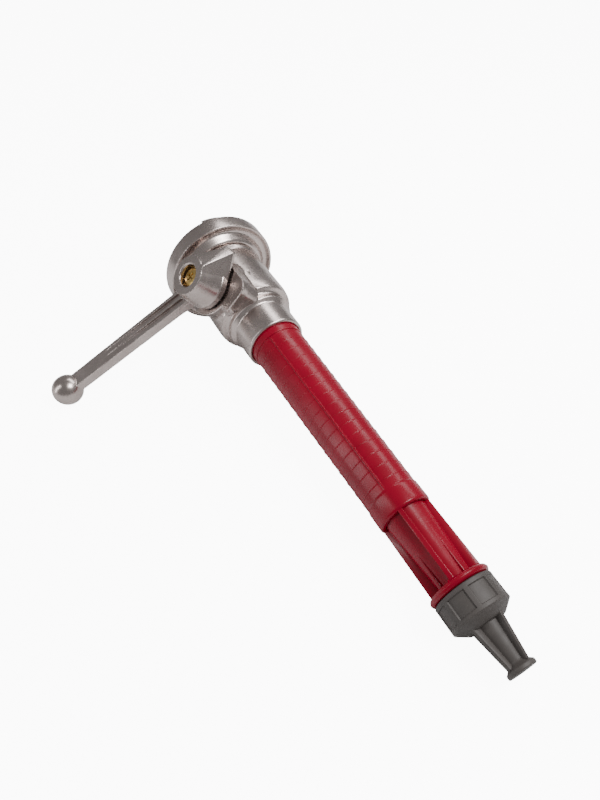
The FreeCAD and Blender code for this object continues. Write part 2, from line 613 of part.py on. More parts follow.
def lever_fasteners():
    washer_top = "recess_floor + 1.2"
    sub_part("lever_washer", pipe_z("washer_pipe", "washer_radius", "pilot_radius + 0.3",
                                    "recess_floor", washer_top))
    spring_top = f"{washer_top} + spring_washer"
    split = block("spring_split", "spindle_place + pilot_radius - 1", "-0.6", "recess_floor",
                  "10", "1.2", "8")
    sub_part("spring_washer", cut("spring_washer_cut",
             pipe_z("spring_pipe", "washer_radius - 1.6", "pilot_radius + 0.4", washer_top, spring_top),
             split))
    head = round_z("screw_head_blank", "screw_head_radius", spring_top, f"{spring_top} + screw_head")
    shank = round_z("screw_shank", "pilot_radius", "square_top - screw_length + 1.5",
                    f"{spring_top} + 0.5")
    top = f"{spring_top} + screw_head - cross_depth"
    cross = [
        block(f"screw_cross_{i}", f"spindle_place - {x} / 2", f"-{y} / 2", top, x, y, "cross_depth + 1")
        for i, (x, y) in enumerate((("cross_length", "cross_width"), ("cross_width", "cross_length")))
    ]
    sub_part("lever_screw", cut("lever_screw_cut", fuse("lever_screw_blank", head, shank), *cross))


# ---- barrel --------------------------------------------------------------------------------
def grip_radius_at(x):
    return f"grip_radius - grip_taper * (({x}) - ring_first)"


def barrel():
    outline = [
        ("barrel_start", "socket_bore - barrel_wall"), ("barrel_start", "plug_radius - 0.8"),
        ("barrel_start + 0.8", "plug_radius"), ("barrel_ring - ring_section - 0.1", "plug_radius"),
        ("barrel_ring - ring_section - 0.1", "barrel_groove"),
        ("barrel_ring + ring_section + 0.1", "barrel_groove"),
        ("barrel_ring + ring_section + 0.1", "plug_radius"), ("socket_end - 0.6", "plug_radius"),
        ("socket_end - 0.2", "band_radius"), ("band_end - 0.6", "band_radius"),
        ("band_end", "band_radius - 0.5"),
    ]
    for i in range(RINGS_ON_GRIP):
        place = f"ring_first + {i} * ring_pitch"
        skin = grip_radius_at(place)
        outline += [
            (f"{place}", f"{skin} - band_step"),
            (f"{place} + 0.25 * ring_width", f"{skin} + ring_height"),
            (f"{place} + 0.75 * ring_width", f"{skin} + ring_height"),
            (f"{place} + ring_width", f"{skin} + band_step"),
        ]
    outline += [
        ("grip_end", grip_radius_at("grip_end")), ("grip_end + 1.6", "collar_size"),
        ("cuff_end - 1.6", "collar_size"), ("cuff_end", "rib_radius"),
        ("cuff_end", "core_radius + 0.8"), ("cuff_end - cuff_pocket", "core_radius"),
        ("bead_start", "core_tip_radius"), ("bead_start", "bead_radius - bead_round"),
        ("bead_start + 0.7", "bead_radius - 0.7"), ("bead_start + bead_round", "bead_radius"),
        ("bead_end - bead_round", "bead_radius"), ("bead_end - 0.7", "bead_radius - 0.7"),
        ("bead_end", "bead_radius - bead_round"), ("bead_end", "spigot_radius"),
        ("spigot_end", "spigot_radius"), ("spigot_end", "insert_radius + 0.02"),
        ("insert_start", "insert_radius + 0.02"), ("insert_start", "throat_radius - 1.6"),
        ("bead_start - 6", "throat_radius - 1.2"), ("cuff_end", "core_radius - 2.8"),
        ("swirl_start + swirl_width + 2", "swirl_radius + 0.05"),
        ("swirl_start - 12", "swirl_radius + 0.05"), ("barrel_start + 20", "socket_bore - 6"),
    ]
    skin = turned("barrel_skin", outline)
    middle = grip_radius_at("(ring_first + grip_end) / 2")
    parting = fin("barrel_parting", value("rib_angle"), "band_end", "grip_end + 1", "parting_width",
                  f"{grip_radius_at('band_end')} + parting_height",
                  f"{grip_radius_at('grip_end')} + parting_height")
    ribs = []
    for i in range(BARREL_RIBS):
        azimuth = value("rib_angle") + i * 360.0 / BARREL_RIBS
        ribs.append(fin(f"barrel_rib_{i}", azimuth, "cuff_end - 4", "bead_start + 1", "rib_width",
                        "rib_radius - 0.2", "rib_radius + 0.2"))
        ribs.append(fin(f"barrel_spur_{i}", azimuth + 180.0 / BARREL_RIBS, "cuff_end + 12",
                        "bead_start + 1", "2 * spur_radius", "core_radius - 1.8",
                        "core_tip_radius + spur_radius"))
    hollow = round_x("barrel_core", f"{middle} - 6.5", "band_end - 2", "cuff_end - 30")
    hollow_tip = taper_x("barrel_core_tip", "core_radius - 2.8", "throat_radius - 1.2",
                         "cuff_end - 31", "bead_start - 4")
    throat = round_x("barrel_throat", "throat_radius - 1.6", "bead_start - 6", "insert_start + 1")
    added = cut("barrel_added", fuse("barrel_fins", parting, *ribs), hollow, hollow_tip, throat)
    return sub_part("barrel", fuse("barrel_fused", skin, added))


def barrel_o_ring():
    ring = document.addObject("Part::Torus", "barrel_ring")
    bind(ring, Radius1="socket_bore - ring_section - 0.02", Radius2="ring_section")
    put(ring, "barrel_ring", turn=ALONG_X)
    return sub_part("barrel_o_ring", ring)


# ---- water guides inside the barrel --------------------------------------------------------
def jet_tube():
    return ring_x("jet_tube", "jet_tube_start", "jet_tube_end", "jet_tube_radius",
                  "jet_tube_radius - jet_tube_wall")


def vanes(name, count, start, width, outer):
    """Ring round the jet tube with straight vanes out to the wall."""
    end = f"{start} + {width}"
    sleeve = round_x(name + "_sleeve", "jet_tube_radius + 1.6", start, end)
    fins = [
        fin(f"{name}_vane_{i}", 360.0 * i / count, start, end, "vane_width", outer, outer)
        for i in range(count)
    ]
    hole = round_x(name + "_hole", "jet_tube_radius", f"{start} - 1", f"{end} + 1")
    return sub_part(name, cut(name + "_cut", fuse(name + "_blank", sleeve, *fins), hole))


def outlet_nozzle():
    return ring_x("outlet_nozzle", "insert_start", "insert_end", "insert_radius", "insert_bore")


# ---- mouthpiece ----------------------------------------------------------------------------
def mouthpiece():
    blank = turned(
        "mouthpiece_blank",
        [
            ("nut_start", "spigot_radius + cap_gap"), ("nut_start", "nut_radius - 0.5"),
            ("nut_start + 0.5", "nut_radius"), ("nut_end - 0.5", "nut_radius"),
            ("nut_end", "nut_radius - 0.5"), ("cone_end", "cone_radius"),
            ("cone_end", "tip_root_radius"), ("flare_start - 1", "tip_radius"),
            ("flare_start + 1.4", "flare_radius - 1"), ("flare_start + 2.4", "flare_radius"),
            ("flare_end - 0.6", "flare_radius"), ("flare_end", "flare_radius - 0.6"),
            ("flare_end", "orifice_radius"), ("throat_end", "orifice_radius"),
            ("cap_floor", "throat_radius"), ("cap_floor", "spigot_radius + cap_gap"),
        ],
    )
    ribs = [
        fin(f"tip_rib_{i}", value("tip_rib_angle") + 360.0 * i / TIP_RIBS, "nut_end + 1",
            "flare_start + 0.5", "tip_rib_width", "tip_rib_root", "tip_rib_end")
        for i in range(TIP_RIBS)
    ]
    way = taper_x("tip_way", "throat_radius", "orifice_radius", "cap_floor", "throat_end")
    way_end = round_x("tip_way_end", "orifice_radius", "throat_end - 1", "flare_end")
    added = cut("tip_ribs", fuse("tip_rib_blanks", *ribs), way, way_end)
    panels = []
    panel_base = value("nut_radius - 2 * panel_depth")
    for i in range(NUT_PANELS):
        azimuth = value("panel_angle") + 360.0 * i / NUT_PANELS
        panel = document.addObject("Part::Box", f"panel_{i}")
        bind(panel, Length="panel_end - panel_start", Width="panel_width", Height="panel_width")
        corner = FreeCAD.Vector(value("panel_start"), -value("panel_width / 2"), panel_base)
        turn = FreeCAD.Placement(FreeCAD.Vector(), about_nozzle(-azimuth))
        panel.Placement = turn * FreeCAD.Placement(corner, FreeCAD.Rotation())
        panels.append(panel)
    inner = round_x("panel_floor", "nut_radius - panel_depth", "panel_start - 1", "panel_end + 1")
    tool = cut("panel_tool", fuse("panel_blocks", *panels), inner)
    return sub_part("mouthpiece", cut("mouthpiece_cut", fuse("mouthpiece_fused", blank, added), tool))


def mouthpiece_gasket():
    return ring_x("mouthpiece_gasket", "cap_floor - cap_gasket", "cap_floor", "spigot_radius",
                  "insert_radius")


coupling_head()
lock_screw()
coupling_gasket()
ring_x("body_seal", "thread_start", "thread_start + seal_width", "thread_radius", "waterway_radius")
valve_body()
seats()
seat_retainer()
valve_ball()
spray_baffle()
spindle()
spindle_o_rings()
gland()
lever()
lever_fasteners()
barrel()
barrel_o_ring()
jet_tube()
vanes("tube_spider", SPIDER_VANES, "spider_start", "spider_width", "outlet_radius - 0.02")
vanes("swirl_insert", SWIRL_VANES, "swirl_start", "swirl_width", "swirl_radius")
outlet_nozzle()
mouthpiece()
mouthpiece_gasket()

document.recompute()
for item in document.Objects:
    if "Invalid" in item.State or "Error" in item.State:
        raise SystemExit(f"{item.Name} did not compute: {item.State}")
os.makedirs("parts", exist_ok=True)
for feature in sub_parts:
    shape = feature.Shape
    if shape.isNull() or not shape.isValid() or not shape.Solids:
        raise SystemExit(f"{feature.Label} has no valid solid")
    shape.exportStep(f"parts/{feature.Label}.step")
    print(f"{feature.Label}: {len(shape.Solids)} solid(s), {shape.Volume:.0f} mm3")
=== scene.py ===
"""Looks of the fire hose branch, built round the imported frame, and its studio."""

import bpy
import bmesh
import json
import math
from mathutils import Matrix, Vector


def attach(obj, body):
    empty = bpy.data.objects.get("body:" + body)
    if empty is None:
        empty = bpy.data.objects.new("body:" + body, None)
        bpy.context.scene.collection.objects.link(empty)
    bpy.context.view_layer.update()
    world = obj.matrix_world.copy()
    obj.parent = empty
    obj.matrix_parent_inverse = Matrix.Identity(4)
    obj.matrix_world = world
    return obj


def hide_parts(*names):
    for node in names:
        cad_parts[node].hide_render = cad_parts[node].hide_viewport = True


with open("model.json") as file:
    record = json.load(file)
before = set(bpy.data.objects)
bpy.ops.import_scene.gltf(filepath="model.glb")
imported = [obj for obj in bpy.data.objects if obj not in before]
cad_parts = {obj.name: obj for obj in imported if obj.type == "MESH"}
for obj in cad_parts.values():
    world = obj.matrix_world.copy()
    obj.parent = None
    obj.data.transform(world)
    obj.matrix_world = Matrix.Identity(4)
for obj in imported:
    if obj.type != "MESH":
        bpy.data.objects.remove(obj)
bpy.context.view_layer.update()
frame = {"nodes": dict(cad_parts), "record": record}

MM = 0.001
ROLL = Matrix.Rotation(math.radians(47.4), 4, "X")  # upright drawing frame to resting attitude
HUB_X = 55.4


# ---- mesh helpers: millimetres, nozzle axis +X, valve spindle +Z -----------------------------
def make(name, points, faces):
    mesh = bpy.data.meshes.new(name)
    mesh.from_pydata([Vector(p) * MM for p in points], [], faces)
    mesh.transform(ROLL)
    work = bmesh.new()
    work.from_mesh(mesh)
    bmesh.ops.remove_doubles(work, verts=work.verts, dist=1e-7)
    bmesh.ops.recalc_face_normals(work, faces=work.faces)
    work.to_mesh(mesh)
    work.free()
    made = bpy.data.objects.new(name, mesh)
    bpy.context.scene.collection.objects.link(made)
    return made


def rounded(corners, steps=4):
    """Closed outline from (x, radius, fillet) corners, with each fillet an arc of a few points."""
    outline = []
    count = len(corners)
    for i, (x, r, fillet) in enumerate(corners):
        here = Vector((x, r))
        before = Vector(corners[i - 1][:2]) - here
        after = Vector(corners[(i + 1) % count][:2]) - here
        if fillet <= 0:
            outline.append(here)
            continue
        reach = min(fillet, before.length * 0.49, after.length * 0.49)
        first = here + before.normalized() * reach
        last = here + after.normalized() * reach
        for k in range(steps + 1):
            t = k / steps
            outline.append(first * (1 - t) ** 2 + here * 2 * t * (1 - t) + last * t * t)
    return outline


def divided(outline, first, last, pitch):
    """Adds points along the outline's outer run between two places, for details round the wall."""
    result = []
    count = len(outline)
    for i, here in enumerate(outline):
        there = outline[(i + 1) % count]
        result.append(here)
        inside = first - 0.01 <= min(here.x, there.x) and max(here.x, there.x) <= last + 0.01
        pieces = int(abs(there.x - here.x) / pitch)
        if inside and pieces > 1 and abs(there.y - here.y) < abs(there.x - here.x):
            result += [here.lerp(there, k / pieces) for k in range(1, pieces)]
    return result


def lathe(name, outline, segments=192, first=0.0, sweep=360.0, detail=None):
    """Turns a closed outline about the nozzle axis; azimuth runs from +Z towards +Y."""
    whole = abs(sweep - 360.0) < 1e-6
    columns = segments if whole else max(3, int(segments * sweep / 360.0)) + 1
    rows = len(outline)
    points = []
    for c in range(columns):
        share = c / (columns if whole else columns - 1)
        angle = math.radians(first + sweep * share)
        for place in outline:
            radius = place.y + (detail(place.x, place.y, angle) if detail else 0.0)
            points.append((place.x, radius * math.sin(angle), radius * math.cos(angle)))
    faces = []
    for c in range(columns if whole else columns - 1):
        d = (c + 1) % columns
        for r in range(rows):
            s = (r + 1) % rows
            faces.append((c * rows + r, c * rows + s, d * rows + s, d * rows + r))
    if not whole:
        faces.append(tuple(range(rows)))
        faces.append(tuple(reversed(range((columns - 1) * rows, columns * rows))))
    return make(name, points, faces)


def stem(name, outline, segments=128):
    """Turns a closed outline of (radius, height) about the valve spindle."""
    rows = len(outline)
    points = []
    for c in range(segments):
        angle = 2 * math.pi * c / segments
        points += [(HUB_X + p.x * math.cos(angle), p.x * math.sin(angle), p.y) for p in outline]
    faces = []
    for c in range(segments):
        d = (c + 1) % segments
        for r in range(rows):
            s = (r + 1) % rows
            faces.append((c * rows + r, c * rows + s, d * rows + s, d * rows + r))
    return make(name, points, faces)


def hull(name, points):
    """Convex solid round some points."""
    mesh = bpy.data.meshes.new(name)
    work = bmesh.new()
    for p in points:
        work.verts.new(Vector(p) * MM)
    found = bmesh.ops.convex_hull(work, input=work.verts)
    left = found["geom_interior"] + found["geom_unused"]
    spare = {v for v in left if isinstance(v, bmesh.types.BMVert)}
    bmesh.ops.delete(work, geom=list(spare), context="VERTS")
    bmesh.ops.recalc_face_normals(work, faces=work.faces)
    work.to_mesh(mesh)
    work.free()
    mesh.transform(ROLL)
    made = bpy.data.objects.new(name, mesh)
    bpy.context.scene.collection.objects.link(made)
    return made


def slab(name, x, y, z):
    return hull(name, [(a, b, c) for a in x for b in y for c in z])


def drum(name, radius, start, end, direction, place, segments=96, tip=None):
    """Cylinder or cone along a direction, from `start` to `end` past a place."""
    turn = Vector((0, 0, 1)).rotation_difference(Vector(direction)).to_matrix()
    points = []
    for height, size in ((start, radius), (end, radius if tip is None else tip)):
        for c in range(segments):
            angle = 2 * math.pi * c / segments
            local = Vector((size * math.cos(angle), size * math.sin(angle), height))
            points.append(Vector(place) + turn @ local)
    return hull(name, points)


def orb(name, radius, place, rings=48):
    points = []
    for r in range(1, rings):
        polar = math.pi * r / rings
        for c in range(2 * rings):
            angle = math.pi * c / rings
            points.append((
                place[0] + radius * math.sin(polar) * math.cos(angle),
                place[1] + radius * math.sin(polar) * math.sin(angle),
                place[2] + radius * math.cos(polar),
            ))
    points += [(place[0], place[1], place[2] + radius), (place[0], place[1], place[2] - radius)]
    return hull(name, points)


def settled(made):
    """Replaces an object's mesh by what its modifiers make of it."""
    graph = bpy.context.evaluated_depsgraph_get()
    graph.update()
    mesh = bpy.data.meshes.new_from_object(made.evaluated_get(graph))
    made.modifiers.clear()
    made.data = mesh
    return made


def combine(base, tools, operation):
    for tool in tools:
        step = base.modifiers.new("combine", "BOOLEAN")
        step.operation = operation
        step.solver = "EXACT"
        step.object = tool
        settled(base)
        bpy.data.objects.remove(tool)
    return base


def joined(name, parts):
    """One object that holds several meshes."""
    work = bmesh.new()
    for part in parts:
        work.from_mesh(part.data)
        bpy.data.objects.remove(part)
    mesh = bpy.data.meshes.new(name)
    work.to_mesh(mesh)
    work.free()
    made = bpy.data.objects.new(name, mesh)
    bpy.context.scene.collection.objects.link(made)
    return made


def cast(made, voxel, passes):
    """Remeshes a solid so that its edges are as soft as a casting's."""
    skin = made.modifiers.new("skin", "REMESH")
    skin.mode = "VOXEL"
    skin.voxel_size = voxel * MM
    soft = made.modifiers.new("soft", "SMOOTH")
    soft.factor = 0.5
    soft.iterations = passes
    return settled(made)


def smooth(made, angle=34.0):
    for face in made.data.polygons:
        face.use_smooth = True
    made.data.set_sharp_from_angle(angle=math.radians(angle))
    return made


def bevel(made, width, segments=3):
    edge = made.modifiers.new("edge", "BEVEL")
    edge.width = width * MM
    edge.segments = segments
    edge.limit_method = "ANGLE"
    edge.angle_limit = math.radians(30)
    return settled(made)


def radial(azimuth, radius, x, across=0.0):
    """Point at a radius and azimuth about the nozzle axis, moved sideways by `across`."""
    a = math.radians(azimuth)
    return (
        x,
        radius * math.sin(a) + across * math.cos(a),
        radius * math.cos(a) - across * math.sin(a),
    )


def rib(name, azimuth, start, end, width, root, tip, inner, edge=0.6):
    """Rib on the wall whose top goes from radius `root` to radius `tip`."""
    points = []
    for x, top in ((start, root), (end, tip)):
        for radius in (inner, top):
            for side in (-0.5, 0.5):
                points.append(radial(azimuth, radius, x, side * width))
    return bevel(hull(name, points), edge)


# ---- coupling --------------------------------------------------------------------------------
LUG_FIRST = 38.0
LUG_SWEEP = 64.0
ENTRY_SWEEP = 76.0


def coupling():
    back = [
        (15.6, 48.6, 0.9), (15.6, 46.6, 0.6), (13.2, 44.4, 2.4), (12.8, 40.4, 3.0),
        (18.4, 36.8, 1.2), (19.6, 35.4, 0.6), (19.6, 29.9, 0.0),
        (7.9, 29.9, 0.0), (7.9, 25.1, 0.2), (6.1, 25.1, 0.2), (6.1, 31.0, 0.0), (0.6, 31.0, 0.3),
        (0.6, 33.0, 0.4), (10.0, 33.0, 0.8), (10.0, 44.0, 0.8), (4.0, 44.0, 0.3),
    ]
    parts = []
    for i in range(2):
        lug_middle = LUG_FIRST + LUG_SWEEP / 2 + 180.0 * i
        entry_middle = lug_middle + 90.0
        entry_first = entry_middle - ENTRY_SWEEP / 2
        for first, sweep, ledge in (
            (entry_first, ENTRY_SWEEP, 42.6),
            (entry_first + ENTRY_SWEEP, 180.0 - ENTRY_SWEEP, 39.0),
        ):
            front = [(4.0, ledge, 0.4), (0.0, ledge, 0.5), (0.0, 47.8, 0.7), (1.2, 49.0, 0.8)]
            parts.append(lathe("ring", rounded(back + front), 256, first, sweep))
        lug = [
            (10.4, 33.0, 0.0), (-12.0, 33.0, 0.8), (-12.0, 41.0, 1.0), (-7.0, 41.0, 0.8),
            (-7.0, 37.5, 0.8), (10.4, 37.5, 0.0),
        ]
        parts.append(bevel(lathe("claw", rounded(lug), 256, LUG_FIRST + 180.0 * i, LUG_SWEEP), 0.5))
    return smooth(joined("coupling_ring", parts))


def lip_gasket():
    outline = [
        (-0.6, 25.0, 0.3), (-0.6, 29.4, 0.5), (0.8, 30.4, 0.4), (6.0, 31.0, 0.0), (6.0, 25.0, 0.0),
    ]
    return smooth(lathe("inlet_gasket", rounded(outline)))


# ---- valve body ------------------------------------------------------------------------------
def pad_outline(z, spread=0.0):
    """Outline of the pad beside the boss at a height; `spread` moves its rounded corner outwards."""
    corner = (HUB_X + 22.8 + spread, 14.5 - 0.6 * spread)
    points = [(HUB_X, 24.5 - 0.6 * spread, z), (HUB_X, -2.0, z), (corner[0] + 10.0, -2.0, z)]
    for i in range(9):
        turn = math.radians(90.0 * i / 8)
        points.append((corner[0] + 10.0 * math.cos(turn), corner[1] + 10.0 * math.sin(turn), z))
    return points


def body_casting():
    """Overlapping solids; the casting's remesh makes one skin of them."""
    shell = [
        (20.0, 33.6, 0.6), (21.0, 34.4, 0.6), (22.8, 34.4, 0.8), (25.6, 32.9, 1.6),
        (72.0, 33.0, 0.0),
    ]
    for x in (74.0, 76.0, 78.0, 79.5):
        shell.append((x, math.sqrt(33.0 ** 2 - (x - 72.0) ** 2), 0.0))
    shell += [
        (81.0, 31.6, 0.5), (82.9, 27.5, 1.2), (85.4, 27.2, 1.0), (87.6, 27.9, 0.5),
        (89.0, 27.9, 0.5), (92.0, 24.8, 0.8), (115.0, 24.5, 0.5), (116.0, 23.5, 0.3),
        (116.0, 22.0, 0.2),
        (99.0, 22.0, 0.0), (99.0, 15.0, 0.0), (76.6, 15.0, 0.0), (76.6, 23.6, 0.0),
        (9.6, 23.6, 0.0), (9.6, 29.5, 0.0), (20.0, 29.5, 0.0),
    ]
    base = lathe("body", rounded(shell), 200)
    boss = drum("boss", 24.5, 8.0, 38.8, (0, 0, 1), (HUB_X, 0, 0))
    plate = hull("pad", pad_outline(30.0) + pad_outline(38.8))
    skirt = hull("skirt", pad_outline(33.0) + pad_outline(21.0, 2.2))
    mark = hull("mark", [(HUB_X + x, y, z) for x, y, z in (
        (22.0, -4.0, 38.4), (32.8, 1.5, 38.4), (37.2, 1.5, 36.5), (28.6, -7.8, 30.0),
        (22.0, -7.8, 30.0), (22.0, 1.5, 23.0), (28.6, 1.5, 23.0),
    )])
    for solid in (boss, skirt):
        chamber = drum("chamber", 24.5, 0.0, 77.6, (1, 0, 0), (0, 0, 0))
        way = drum("way", 11.2, 0.0, 50.0, (0, 0, 1), (HUB_X, 0, 0))
        combine(solid, [chamber, way], "DIFFERENCE")
    way = drum("way", 11.2, 15.0, 50.0, (0, 0, 1), (HUB_X, 0, 0))
    nick = drum("nick", 0.6, -2.5, 2.5, (1, 0, 0.12), (61.0, 26.4, 19.9), 24)
    combine(base, [way, nick], "DIFFERENCE")
    combine(plate, [drum("way", 11.2, 0.0, 50.0, (0, 0, 1), (HUB_X, 0, 0))], "DIFFERENCE")
    return joined("body_casting", [base, boss, plate, skirt, mark])


def valve_body():
    return smooth(cast(body_casting(), 0.42, 2), 50)


def gland():
    outline = [(7.06, 31.3, 0), (11.0, 31.3, 0), (11.0, 38.8, 0.4), (7.06, 38.8, 0.3)]
    return smooth(stem("gland_nut", rounded(outline)))


# ---- lever -----------------------------------------------------------------------------------
KNOB = Vector((HUB_X, -133.0, 95.6))
KNOB_RADIUS = 12.5
ARM_ROOT = Vector((HUB_X, -17.0, 52.1))


def arm_frame():
    """Along the arm, across it and out of its front."""
    along = (KNOB - ARM_ROOT).normalized()
    across = Vector((1, 0, 0))
    return along, across, along.cross(across)


def arm_point(distance, side, out):
    along, across, front = arm_frame()
    return ARM_ROOT + along * distance + across * side + front * out


def arm_bar(name, start, end, root, tip):
    """Bar along the arm; root and tip are (low side, high side, low out, high out)."""
    points = []
    for distance, (left, right, low, high) in ((start, root), (end, tip)):
        for side in (left, right):
            for out in (low, high):
                points.append(arm_point(distance, side, out))
    return hull(name, points)


def lever_casting():
    """Overlapping solids; the casting's remesh makes one skin of them."""
    band = stem("hub", rounded([
        (8.0, 40.5, 0.0), (13.2, 40.5, 0.0), (13.2, 44.5, 0.0), (18.0, 44.5, 0.0),
        (18.0, 40.5, 0.0), (20.4, 40.5, 0.0), (20.8, 41.0, 0.0), (20.8, 45.7, 0.0),
        (20.4, 46.1, 0.0), (16.0, 65.0, 0.0), (10.1, 65.0, 0.0), (9.1, 64.0, 0.0),
        (9.1, 55.6, 0.0), (8.0, 55.6, 0.0),
    ]), 160)
    tail = hull("tail", [(HUB_X + x, y, z) for x, y, z in (
        (8.8, 15.3, 65.0), (15.2, 4.8, 65.0), (17.3, 5.5, 49.1), (-9.8, 12.4, 65.0), (0.0, -7.6, 65.0),
        (0.3, 34.0, 46.0), (3.1, 34.0, 43.2), (2.8, 34.0, 40.5), (18.2, 9.0, 40.5),
        (-4.2, 34.0, 46.0), (-4.2, 34.0, 40.5), (-19.4, 7.6, 46.0), (-19.4, 7.6, 40.5),
        (0.0, -7.6, 46.0), (0.0, -7.6, 40.5),
    )])
    well = drum("well", 10.3, 30.0, 80.0, (0, 0, 1), (HUB_X, 0, 0))
    track = drum("track", 18.1, 30.0, 44.4, (0, 0, 1), (HUB_X, 0, 0))
    combine(tail, [well, track], "DIFFERENCE")
    arm = arm_bar("arm", 0.0, 124.0, (-8.2, 8.2, -4.3, 4.3), (-6.8, 6.8, -4.1, 4.1))
    channels = []
    for side in (-1, 1):
        root = sorted((side * 1.5, side * 5.1))
        tip = sorted((side * 0.6, side * 4.2))
        channels.append(arm_bar("channel", 4.0, 84.0, (*root, 1.5, 9.0), (*tip, 4.15, 9.0)))
    combine(arm, channels, "DIFFERENCE")
    neck = arm_bar("neck", -1.0, 14.0, (-8.4, 8.4, -5.5, 1.2), (-8.0, 8.0, -4.3, 1.2))
    return joined("lever_casting", [band, tail, arm, neck, orb("knob", KNOB_RADIUS, KNOB)])


def lever():
    return smooth(cast(lever_casting(), 0.3, 2), 40)


def screw():
    head = [
        (0.05, 58.2, 0.0), (7.4, 58.2, 0.3), (7.4, 60.6, 0.6), (5.2, 61.4, 1.2), (0.05, 61.4, 0.0),
    ]
    made = stem("hub_screw", rounded(head), 96)
    cross = [
        slab("cross", (HUB_X - a, HUB_X + a), (-b, b), (59.6, 63.0))
        for a, b in ((3.6, 0.75), (0.75, 3.6))
    ]
    combine(made, cross, "DIFFERENCE")
    shank = stem("shank", rounded([(0.05, 44.1, 0), (3.0, 44.1, 0), (3.0, 58.3, 0), (0.05, 58.3, 0)]), 48)
    return smooth(joined("hub_screw", [bevel(made, 0.18, 2), shank]), 40)


# ---- barrel ----------------------------------------------------------------------------------
GRIP_RADIUS = 20.9
GRIP_TAPER = 0.0138
GRIP_END = 278.0
GRIP_RINGS = 16
RING_FIRST = 123.0
RING_PITCH = 9.91
WALL_INSIDE = 18.0  # below this radius the outline is the barrel's inside
PARTING = 18.5
PARTING_HEIGHT = 0.5
PARTING_REACH = 0.7
PARTING_SLOPE = 0.25


def grip_at(x):
    return GRIP_RADIUS - GRIP_TAPER * (x - RING_FIRST)


def parting_line(x, radius, angle):
    """Height of the two raised mould lines along the grip."""
    if not RING_FIRST < x < GRIP_END or radius < WALL_INSIDE:
        return 0.0
    away = abs(math.remainder(angle - math.radians(PARTING), math.pi)) * radius
    return PARTING_HEIGHT * min(max((PARTING_REACH - away) / PARTING_SLOPE, 0.0), 1.0)


def barrel():
    outline = [
        (100.0, 18.6, 0.0), (100.0, 21.1, 0.0), (100.8, 21.9, 0.3), (115.4, 21.9, 0.2),
        (115.8, 21.5, 0.2), (122.0, 21.5, 0.3), (122.6, 21.0, 0.2),
    ]
    for i in range(GRIP_RINGS):
        x = RING_FIRST + i * RING_PITCH
        skin = grip_at(x)
        outline += [
            (x - 0.5, skin - 0.1, 0.0), (x, skin - 0.12, 0.1), (x + 0.22, skin + 0.3, 0.14),
            (x + 0.68, skin + 0.3, 0.14), (x + 0.9, skin + 0.1, 0.1), (x + 1.5, skin + 0.08, 0.0),
        ]
    outline += [
        (278.6, grip_at(278.6), 0.4), (280.0, 19.3, 0.6), (293.4, 19.3, 0.9), (294.6, 18.2, 0.4),
        (294.6, 16.1, 0.3), (293.0, 15.3, 0.6), (346.6, 11.8, 1.6), (346.6, 19.0, 0.4),
        (347.3, 20.6, 0.8), (348.9, 21.3, 0.9), (349.3, 21.3, 0.9), (350.9, 20.6, 0.8),
        (351.6, 19.0, 0.4), (351.6, 14.0, 0.0), (366.7, 14.0, 0.3), (366.7, 9.65, 0.2),
        (353.0, 9.65, 0.0), (353.0, 7.9, 0.2), (340.6, 8.2, 0.0), (294.6, 12.5, 0.0),
        (278.0, 13.65, 0.0), (250.0, 13.65, 0.0), (120.0, 16.0, 0.0),
    ]
    skin = lathe("skin", rounded(outline, 3), 512, detail=parting_line)
    parts = [skin]
    for i in range(4):
        azimuth = PARTING + 90.0 * i
        parts.append(rib("rib", azimuth, 291.0, 347.0, 3.2, 18.3, 18.5, 9.0, 0.7))
        parts.append(rib("spur", azimuth + 45.0, 306.0, 347.0, 3.0, 13.4, 13.6, 9.0, 1.1))
        for side in (-1, 1):
            points = [radial(azimuth, r, x, side * a) for x, r, a in (
                (344.4, 12.0, 1.0), (344.4, 18.2, 1.0), (347.0, 12.0, 1.0), (347.0, 18.2, 1.0),
                (347.0, 12.0, 4.2), (347.0, 18.2, 3.6),
            )]
            parts.append(hull("fillet", points))
    return smooth(joined("grip_barrel", parts), 40)


# ---- mouthpiece ------------------------------------------------------------------------------
NUT_RADIUS = 20.5
NUT_WALL = (352.6, 370.0)
NUT_WALL_INSIDE = 20.0
PANEL_FIRST = 50.5
PANEL_PITCH = math.pi / 4
PANEL_HALF = 6.4
PANEL_START = 355.0
PANEL_END = 367.4
PANEL_DEPTH = 0.95
PANEL_LEAD = 0.15
PANEL_SLOPE = 0.4


def panels(x, radius, angle):
    """Depth of the eight sunk panels round the nut."""
    if radius < NUT_WALL_INSIDE or not NUT_WALL[0] < x < NUT_WALL[1]:
        return 0.0
    away = abs(math.remainder(angle - math.radians(PANEL_FIRST), PANEL_PITCH)) * NUT_RADIUS
    edge = min(PANEL_HALF - away, x - PANEL_START, PANEL_END - x)
    return -PANEL_DEPTH * min(max((edge + PANEL_LEAD) / PANEL_SLOPE, 0.0), 1.0)


def mouthpiece():
    outline = rounded([
        (352.0, 14.05, 0.2), (352.0, 20.1, 0.3), (352.6, 20.5, 0.3), (369.9, 20.5, 0.5),
        (370.6, 19.6, 0.6), (375.2, 13.0, 0.5), (375.2, 8.8, 0.5), (399.4, 5.9, 1.4),
        (401.6, 8.6, 0.6), (402.4, 9.6, 0.5), (404.5, 9.6, 0.5), (405.0, 9.0, 0.3),
        (405.0, 4.5, 0.4), (396.0, 4.5, 0.0), (368.2, 9.4, 0.0), (368.2, 14.05, 0.0),
    ])
    skin = lathe("skin", divided(outline, 352.5, 370.1, 0.25), 480, detail=panels)
    parts = [skin]
    for i in range(4):
        parts.append(rib("rib", 70.0 + 90.0 * i, 372.0, 401.2, 2.2, 14.6, 8.8, 5.2, 0.5))
    return smooth(joined("tip_nut", parts), 40)


